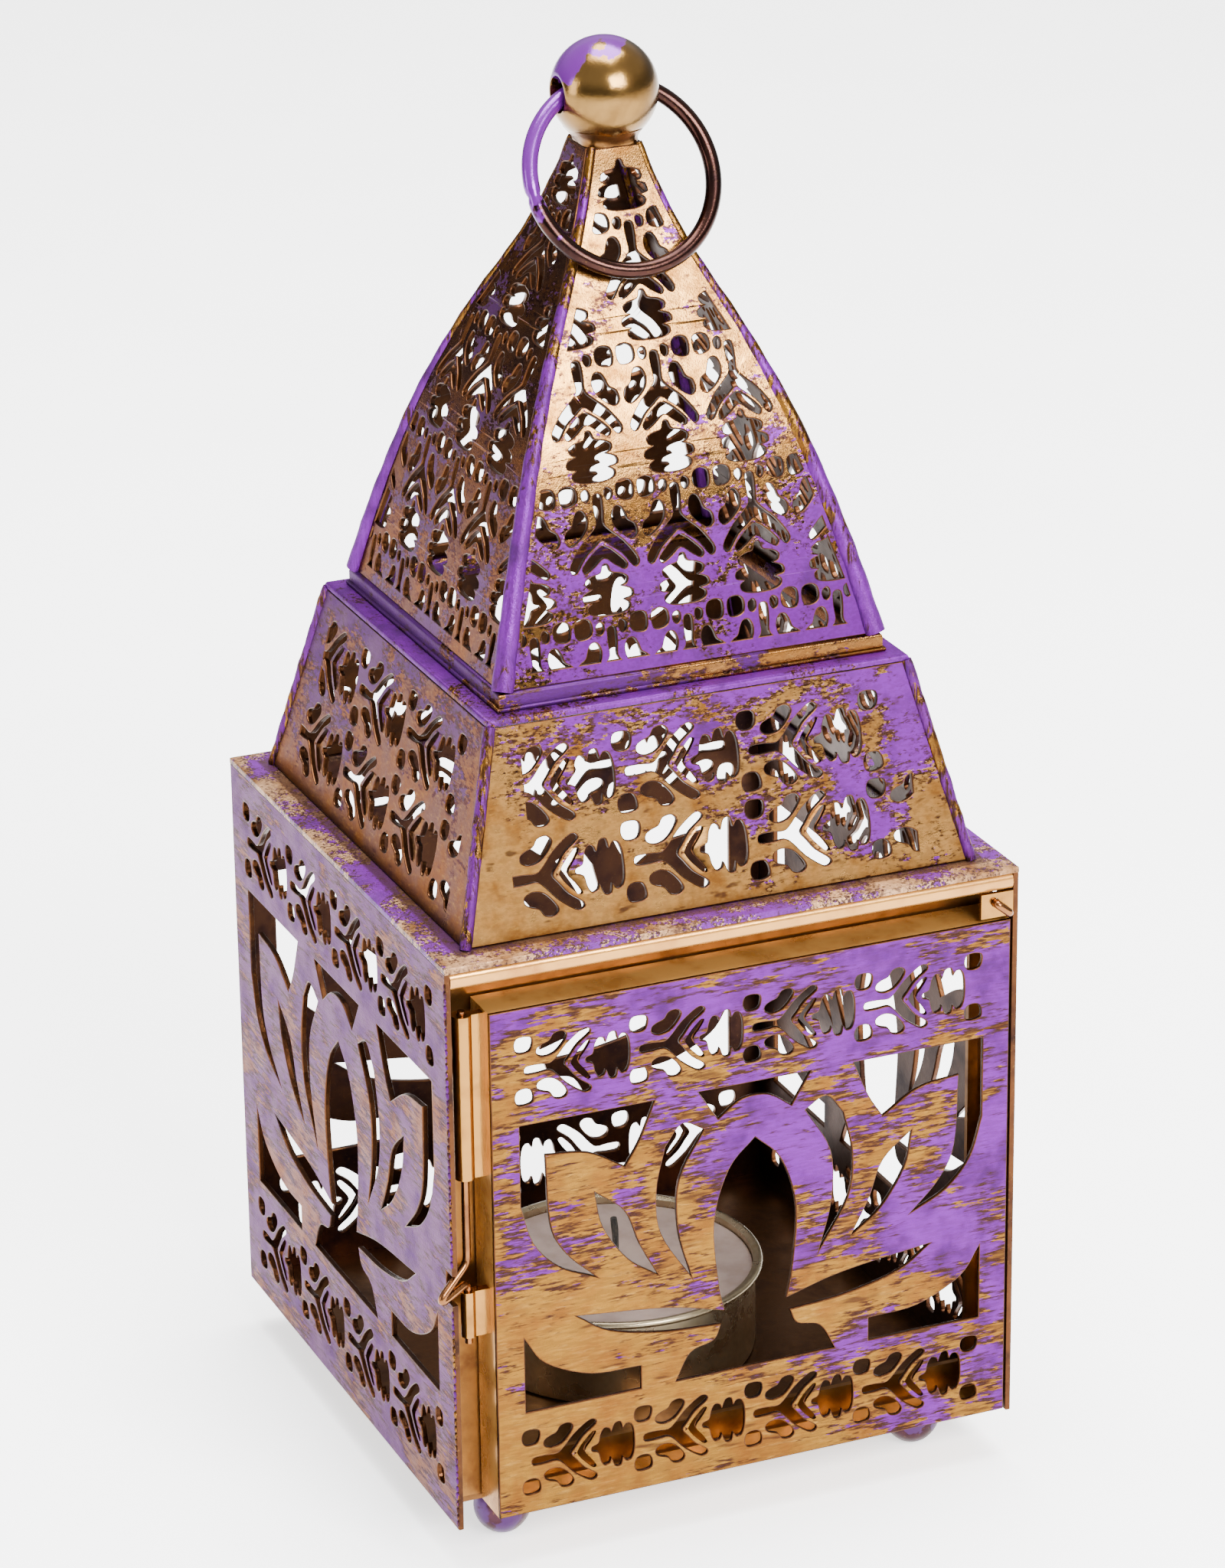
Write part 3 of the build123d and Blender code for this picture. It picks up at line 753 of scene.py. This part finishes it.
def door_walls():
    """The folded walls of the door tray."""
    corners = [(door_low.x, door_low.z), (door_high.x, door_low.z),
               (door_high.x, door_high.z), (door_low.x, door_high.z)]
    front, back, soft = door_low.y + 0.06, door_back, 0.2
    profile = [(soft, front), (0.06, front + 0.06), (0.0, front + soft), (0.0, back - soft), (soft, back),
               (sheet - soft, back), (sheet, back - soft), (sheet, front + door_sheet)]
    mesh = rectangle_loop(profile, corners, lambda x, z, y: Vector((x, y, z)))
    return finished("door_folded_walls", mesh, "door", ["door_edge"], [edge_gold])


# -------------------- skirt
# each filigree row's height up the slope, and how far it reaches from the middle
SKIRT_ROWS = ((7.55, 28.0), (19.05, 25.2))


def skirt_half(slope):
    return skirt_base + (skirt_top - skirt_base) * slope / skirt_slope


def skirt_place(side):
    lean = (skirt_base - skirt_top) / skirt_slope
    rise = skirt_height / skirt_slope

    def place(x, slope, depth):
        return turned(side, (x, -skirt_half(slope) - depth * rise, ledge_z + slope * rise + depth * lean))
    return place


def skirt_piece(side):
    low, high = 0.15, skirt_slope - 0.1
    margin = 0.9
    edges = [(-skirt_half(low) + margin, low), (skirt_half(low) - margin, low),
             (skirt_half(high) - margin, high), (-skirt_half(high) + margin, high)]
    wide = 17.2 / PERIOD
    holes = []
    for middle, limit in SKIRT_ROWS:
        row = band(lambda u, v: Vector((u * wide - 46.0, middle + v * 1.02)), 5)
        holes += trimmed(row, lambda y: limit)
    return pierced_sheet(f"{side}_skirt_sheet", [edges] + holes, sheet, skirt_place(side), "lantern",
                         [f"skirt_panel_{side}"], skirt_look[side], inside_shade_dark)


def skirt_bead(corner):
    """The soldered bead along one corner of the skirt."""
    points = []
    for step in range(41):
        slope = skirt_slope * step / 40
        reach = skirt_half(slope) - 0.3
        points.append((-reach, -reach, ledge_z + skirt_height * step / 40))
    radii = [0.78 + 0.1 * math.sin(step * 0.9) * chance.random() for step in range(41)]
    mesh = tube_along(points, radii, 16)
    mesh.transform(Matrix.Rotation(math.radians(CORNERS[corner]), 4, "Z"))
    return finished(f"skirt_bead_{corner}_worn", mesh, "lantern",
                    [f"skirt_bead_{corner}"], [bead_violet])


# -------------------- dome
DOME_TILE = 16.8
DOME_COLUMNS = (-21.0, -10.5, 0.0, 10.5, 21.0)


def dome_line():
    """Fine points (distance, half width, height) up the middle of a dome side."""
    points = smooth_run([Vector(point) for point in DOME_PROFILE], 10) + [Vector(DOME_PROFILE[-1])]
    line = [(0.0, points[0].x, points[0].y)]
    for before, here in zip(points, points[1:]):
        line.append((line[-1][0] + (here - before).length, here.x, here.y))
    return line


DOME_LINE = dome_line()
dome_slope = DOME_LINE[-1][0]


def dome_at(distance):
    """Half width and height of the dome at a distance up its side."""
    distance = max(0.0, min(dome_slope, distance))
    for (s0, w0, h0), (s1, w1, h1) in zip(DOME_LINE, DOME_LINE[1:]):
        if distance <= s1:
            t = (distance - s0) / (s1 - s0)
            return w0 + (w1 - w0) * t, h0 + (h1 - h0) * t
    return DOME_LINE[-1][1:]


def dome_place(side):
    """Places a point on a dome side, whose middle is pressed out a little between the ridges."""
    def place(x, distance, depth):
        half, height = dome_at(distance)
        bulge = 0.9 * math.sin(math.pi * min(1, max(0, distance / dome_slope))) * (1 - (x / half) ** 2)
        depth = depth + max(0, bulge)
        low, high = dome_at(distance - 0.8), dome_at(distance + 0.8)
        along = Vector((high[0] - low[0], high[1] - low[1])).normalized()
        outward = Vector((along.y, -along.x))
        return turned(side, (x, -half - depth * outward.x, dome_z + height + depth * outward.y))
    return place


def dome_piece(side):
    steps = [dome_slope * k / 36 for k in range(37)]
    margin = 0.9
    right = [(dome_at(s)[0] - margin, s) for s in steps]
    edges = right + [(-x, s) for x, s in reversed(right)]
    tall, wide = DOME_TILE / PERIOD, 0.97
    top = 10.8 + 3 * DOME_TILE + CROWN_MIDDLE * tall + DOME_TILE
    holes = []
    for column in DOME_COLUMNS:
        holes += band(lambda u, v: Vector((column + v * wide, top - u * tall)), 6, False, True)
    holes = [loop for loop in holes if max(p.y for p in loop) < dome_slope - 1.0]
    holes = [cut_below(loop, 1.9) for loop in holes]
    holes = trimmed([loop for loop in holes if len(loop) > 3], lambda s: dome_at(s)[0] - 2.2)
    cuts = [dome_slope * k / 44 for k in range(1, 44)]
    return pierced_sheet(f"{side}_dome_sheet", [edges] + holes, sheet, dome_place(side), "lantern",
                         [f"dome_panel_{side}"], dome_look[side], inside_shade_dark, cuts)


def dome_ridge(corner):
    """The rounded ridge along one corner of the dome."""
    points, radii = [], []
    for step in range(61):
        part = step / 60
        half, height = dome_at(dome_slope * part)
        reach = half - 0.35 - 0.4 * part
        points.append((-reach, -reach, dome_z + height))
        radii.append(1.4 - 0.85 * part + 0.04 * math.sin(step * 1.3) + 0.04 * chance.random())
    mesh = tube_along(points, radii, 18)
    mesh.transform(Matrix.Rotation(math.radians(CORNERS[corner]), 4, "Z"))
    return finished(f"dome_ridge_{corner}_worn", mesh, "lantern",
                    [f"dome_ridge_{corner}"], [ridge_violet])


# -------------------- square rings between the storeys
def ring_profile(outer_half, hole_half, low, high, soft, lip=0.0):
    """A square ring's section as (inset from the outer edge, height), with an optional rolled lip below."""
    width = outer_half - hole_half
    arc = [(lip + soft * (1 - math.cos(math.radians(a))), high - soft * (1 - math.sin(math.radians(a))))
           for a in (0, 30, 60, 90)]
    foot = [(0.12, low), (0.0, low + 0.15), (0.0, low + 0.4), (0.12, low + 0.55), (lip, low + 0.62)]
    return (foot if lip else [(0.0, low)]) + arc + [(width - 0.1, high), (width, high - 0.1), (width, low)]


def square_ring_piece(name, node, outer_half, hole_half, low, high, soft, look, lip=0.0):
    profile = ring_profile(outer_half, hole_half, low, high, soft, lip)
    mesh = rectangle_loop(profile, square_corners(outer_half), lambda x, y, z: Vector((x, y, z)))
    return finished(name, mesh, "lantern", [node], [look], 50)


# -------------------- turned and wire pieces
def ball_piece():
    """The finial ball, turned about the axis of its cross hole, with a rounded hole edge."""
    hole = 2.3
    start = math.asin((hole + 0.35) / ball_radius)
    outside = []
    for step in range(49):
        angle = start + (math.pi - 2 * start) * step / 48
        outside.append((ball_radius * math.sin(angle), ball_radius * math.cos(angle)))
    edge = outside[0][1]
    bore = [(hole + 0.1, -edge + 0.02), (hole, -edge + 0.3), (hole, edge - 0.3), (hole + 0.1, edge - 0.02)]
    mesh = lathe(outside + bore, 96, closed=True)
    mesh.transform(Matrix.Translation((0, 0, ball_z)) @ Matrix.Rotation(math.radians(90), 4, "Y"))
    return finished("polished_ball", mesh, "lantern", ["finial_ball"], [ball_gold])


def collar_piece():
    """The soldered neck that sweeps up round the ball, with soft folds where the dome meets it."""
    low, high = collar_low.z, collar_high.z
    foot = 4.1
    profile = [(foot + 0.3, low - 1.6), (foot + 0.1, low - 0.8), (foot, low), (foot + 0.1, low + 0.5),
               (foot + 0.4, low + 1.0), (foot + 0.8, low + 1.45), (foot + 1.15, high),
               (foot + 0.9, high + 0.35), (foot + 0.4, high + 0.3)]

    def folds(angle, reach, height):
        corner = 0.9 * math.cos(4 * (angle - math.pi / 4)) * max(0, (low + 0.8 - height) / 2.4)
        return corner + 0.12 * math.sin(5 * angle + 1) * max(0, (height - low) / 2)
    mesh = lathe(profile, 64, wobble=folds)
    return finished("neck_flare", mesh, "lantern", ["neck_collar"], [neck_gold])


def ring_piece():
    """The hanging ring, leaning on the front of the dome, with the joint where its ends meet."""
    points, radii = [], []
    count = 120
    for step in range(count):
        angle = 2 * math.pi * step / count
        height = RING_RISE - RING_RADIUS + RING_RADIUS * math.sin(angle)
        local = Vector((RING_RADIUS * math.cos(angle), 0, height))
        points.append(Matrix.Rotation(-RING_LEAN, 3, "X") @ local + Vector((0, 0, ball_z)))
        joint = math.exp(-((step - 62) / 0.8) ** 2)
        radii.append(RING_WIRE * (1 - 0.25 * joint))
    mesh = tube_along(points, radii, 20, closed=True)
    return finished("bronze_ring", mesh, "ring", ["hanging_ring"], [ring_bronze])


def foot_piece(corner):
    """A ball foot with the solder fillet that holds it to the floor plate."""
    low, high = span(f"foot_{corner}")
    middle = (low + high) / 2
    radius = 3.8
    centre = low.z + 3.6
    profile = [(0.1, low.z), (1.1, low.z), (1.3, low.z + 0.05)]
    for degrees in range(-60, 51, 10):
        angle = math.radians(degrees)
        profile.append((radius * math.cos(angle), centre + radius * math.sin(angle)))
    profile += [(2.3, high.z - 0.3), (2.7, high.z - 0.05), (2.6, high.z)]

    def knocks(angle, reach, height):
        return 0.05 * math.sin(3 * angle + height) if reach > 2 and height < 6 else 0
    mesh = lathe(profile, 48, wobble=knocks)
    mesh.transform(Matrix.Translation((middle.x, middle.y, 0)))
    return finished(f"ball_foot_{corner}", mesh, "lantern", [f"foot_{corner}"], [foot_bronze])


def wire_piece(name, node, points, bend, look):
    path = rounded_path(points, bend)
    mesh = tube_along(path, [WIRE_RADIUS] * len(path), 12)
    return finished(name, mesh, "lantern", [node], [look])


def hinge_wire_piece():
    top, bottom = span("hinge_wire")[1].z, span("hinge_wire")[0].z
    tip_x, tip_y = -41.3, -39.6
    points = [(HINGE_X, HINGE_Y, top), (HINGE_X, HINGE_Y, body_z + 37.0), (tip_x, tip_y, body_z + 33.8),
              (tip_x, tip_y, body_z + 33.0), (HINGE_X, HINGE_Y, body_z + 34.2), (HINGE_X, HINGE_Y, bottom)]
    return wire_piece("bent_hinge_wire", "hinge_wire", points, 1.0, wire_bronze)


def catch_wire_piece():
    low, high = span("door_catch")
    root_x, nose_x = low.x + WIRE_RADIUS, high.x - WIRE_RADIUS
    root_z, nose_z = high.z - WIRE_RADIUS, low.z + WIRE_RADIUS
    nose_y = low.y + WIRE_RADIUS
    points = [(root_x, -body_half + 0.6, root_z), (root_x, nose_y, root_z),
              (nose_x, nose_y, nose_z), (nose_x, -body_half - 0.1, nose_z)]
    return wire_piece("bent_catch_wire", "door_catch", points, 0.5, wire_bronze)


def solder_seam():
    """The row of small solder beads along the front left corner of the body."""
    mesh = bpy.data.meshes.new("solder_seam")
    work = bmesh.new()
    z = body_z + 1.0
    while z < panel_top - 1.0:
        size = 0.30 + 0.14 * chance.random()
        place = Matrix.Translation((-body_half - 0.02, -body_half + 0.1, z))
        shape = Matrix.Diagonal((size * 0.5, size * 1.1, size * 1.3, 1))
        if not 31.5 < z - body_z < 37.5:
            bmesh.ops.create_icosphere(work, subdivisions=2, radius=1.0, matrix=place @ shape)
        z += 0.85 + 0.3 * chance.random()
    work.to_mesh(mesh)
    work.free()
    return finished("corner_solder_seam", mesh, "lantern", [], [bead_violet])


# -------------------- tealight
def on_candle_axis(mesh):
    mesh.transform(Matrix.Translation((cup_middle.x, cup_middle.y, 0)))
    return mesh


def cup_piece():
    """The pressed cup with its rolled rim and a few shallow dents in its wall."""
    low, high = cup_low.z, cup_high.z
    radius = cup_radius - 1.0
    inner = radius - 0.35
    rolled = []
    for degrees in range(-120, 121, 30):
        angle = math.radians(degrees)
        rolled.append((cup_radius - 0.5 + 0.5 * math.cos(angle), high - 0.5 + 0.5 * math.sin(angle)))
    profile = [(0.5, low), (radius - 1.0, low), (radius - 0.2, low + 0.3), (radius, low + 1.2)]
    profile += [(radius, high - 1.0)] + rolled
    profile += [(inner, high - 0.3), (inner, low + 0.6), (0.5, low + 0.35)]

    def dents(angle, reach, height):
        in_wall = reach > radius - 1.1 and low + 1.0 < height < high - 0.95
        return 0.04 * math.cos(5 * angle) - 0.04 if in_wall else 0
    mesh = on_candle_axis(lathe(profile, 144, wobble=dents))
    return finished("pressed_cup", mesh, "tealight", ["candle_cup"], [cup_metal])


def wax_piece():
    low, radius = cup_low.z + 0.4, cup_radius - 1.45
    profile = [(0.2, low), (radius, low), (radius, wax_top - 0.1), (radius - 0.25, wax_top - 0.02),
               (radius - 1.0, wax_top - 0.15), (radius - 5.0, wax_top - 0.35), (6.0, wax_top - 0.55),
               (3.0, wax_top - 0.5), (1.2, wax_top - 0.15), (0.7, wax_top), (0.2, wax_top)]

    def waves(angle, reach, height):
        return 0.25 * math.sin(3 * angle + 1) if 2 < reach < radius - 0.8 and height > low + 2 else 0
    mesh = on_candle_axis(lathe(profile, 96, wobble=waves))
    return finished("melted_wax", mesh, "tealight", ["candle_wax"], [wax_look])


def wick_piece():
    count = 24
    base = wax_top - 1.0
    points, radii = [], []
    for step in range(count + 1):
        t = step / count
        height = base + (wick_top - 0.1 - base) * t
        points.append((0.35 * math.sin(3 * t) * t, -0.25 * math.sin(5 * t) * t, height))
        radii.append(0.55 - 0.12 * t + 0.05 * math.sin(9 * t))
    mesh = on_candle_axis(tube_along(points, radii, 12))
    return finished("burnt_wick", mesh, "tealight", ["candle_wick"], [wick_look])


# -------------------- build everything
door_sheet_piece()
door_walls()
for side in SIDES:
    if side != "front":
        wall_panel(side)
    skirt_piece(side)
    dome_piece(side)
for corner in CORNERS:
    skirt_bead(corner)
    dome_ridge(corner)
for corner in ("front_left", "front_right", "back_left", "back_right"):
    foot_piece(corner)

LEDGE_HOLE, SHOULDER_HOLE, RIM_HOLE = 34.4, 25.4, 24.6
square_ring_piece("ledge_plate", "top_plate", ledge_high.x, LEDGE_HOLE, ledge_low.z, ledge_high.z, 0.2,
                  ledge_brass)
square_ring_piece("shoulder_ring", "skirt_shoulder", shoulder_high.x, SHOULDER_HOLE, shoulder_low.z,
                  shoulder_high.z, 0.5, shoulder_brass)
square_ring_piece("rim_ring", "dome_base_rim", rim_high.x, RIM_HOLE, rim_low.z, rim_high.z, 0.5,
                  rim_brass, lip=0.35)
ball_piece()
collar_piece()
ring_piece()
hinge_wire_piece()
catch_wire_piece()
solder_seam()
cup_piece()
wax_piece()
wick_piece()

cad_looks = {
    "floor_plate": shaded_floor_brass, "front_frame": frame_brass, "front_rail": rail_gold,
    "catch_plate": tube_gold, "upper_knuckle": tube_gold, "lower_knuckle": tube_gold,
    "wick_sustainer": cup_metal,
}
for node, look in cad_looks.items():
    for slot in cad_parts[node].material_slots:
        slot.material = look


# -------------------- camera, floor and light
def aim(thing, place, target):
    thing.location = place
    thing.rotation_euler = (Vector(target) - Vector(place)).to_track_quat("-Z", "Y").to_euler()


def soft_light(name, place, target, size, power):
    light = bpy.data.lights.new(name, "AREA")
    light.shape = "RECTANGLE"
    light.size, light.size_y = size
    light.energy = power
    lamp = bpy.data.objects.new(name, light)
    bpy.context.scene.collection.objects.link(lamp)
    aim(lamp, place, target)
    return lamp


lens = bpy.data.cameras.new("camera")
lens.sensor_fit = "VERTICAL"
lens.sensor_height = 36.0
lens.lens = 125.0
lens.clip_start, lens.clip_end = 0.05, 20
camera = bpy.data.objects.new("camera", lens)
bpy.context.scene.collection.objects.link(camera)
CAMERA_PLACE = (-0.2615, -0.6194, 0.3567)
turn, tilt, roll = math.radians(22.88), math.radians(21.64), math.radians(-0.76)
camera.matrix_world = (Matrix.Translation(CAMERA_PLACE) @ Matrix.Rotation(-turn, 4, "Z")
                       @ Matrix.Rotation(math.pi / 2 - tilt, 4, "X") @ Matrix.Rotation(roll, 4, "Z"))
bpy.context.scene.camera = camera

bpy.ops.mesh.primitive_plane_add(size=8.0, location=(0, 0, 0))
floor = bpy.context.object
floor.name = "studio_floor"
floor.data.materials.append(floor_material())


def studio_world():
    """A bright ceiling that darkens towards the horizon, so polished metal shows contrast."""
    world = bpy.data.worlds.new("studio")
    world.use_nodes = True
    tree = world.node_tree
    direction = tree.nodes.new("ShaderNodeTexCoord")
    split = tree.nodes.new("ShaderNodeSeparateXYZ")
    tree.links.new(direction.outputs["Generated"], split.inputs[0])
    fade = tree.nodes.new("ShaderNodeValToRGB")
    fade.color_ramp.interpolation = "B_SPLINE"
    stops = [(0.0, 0.9), (0.5, 0.25), (0.62, 0.3), (0.78, 1.5), (1.0, 2.4)]
    fade.color_ramp.elements.remove(fade.color_ramp.elements[1])
    fade.color_ramp.elements[0].position = stops[0][0]
    for position, level in stops[1:]:
        fade.color_ramp.elements.new(position)
    for element, (position, level) in zip(fade.color_ramp.elements, stops):
        element.color = (level, level, level, 1)
    height = tree.nodes.new("ShaderNodeMapRange")
    height.inputs["From Min"].default_value = -1
    tree.links.new(split.outputs["Z"], height.inputs["Value"])
    tree.links.new(height.outputs[0], fade.inputs[0])
    tree.links.new(fade.outputs[0], tree.nodes["Background"].inputs["Color"])
    tree.nodes["Background"].inputs["Strength"].default_value = 1.0
    return world


bpy.context.scene.world = studio_world()
soft_light("key_light", (0.15, -0.95, 0.70), (0, 0, 0.12), (0.58, 0.42), 36.0)
soft_light("left_light", (-1.1, 0.05, 0.36), (0, 0, 0.12), (0.35, 0.5), 5.5)
soft_light("top_light", (0.1, 0.1, 1.3), (0, 0, 0.1), (0.9, 0.9), 60.0)
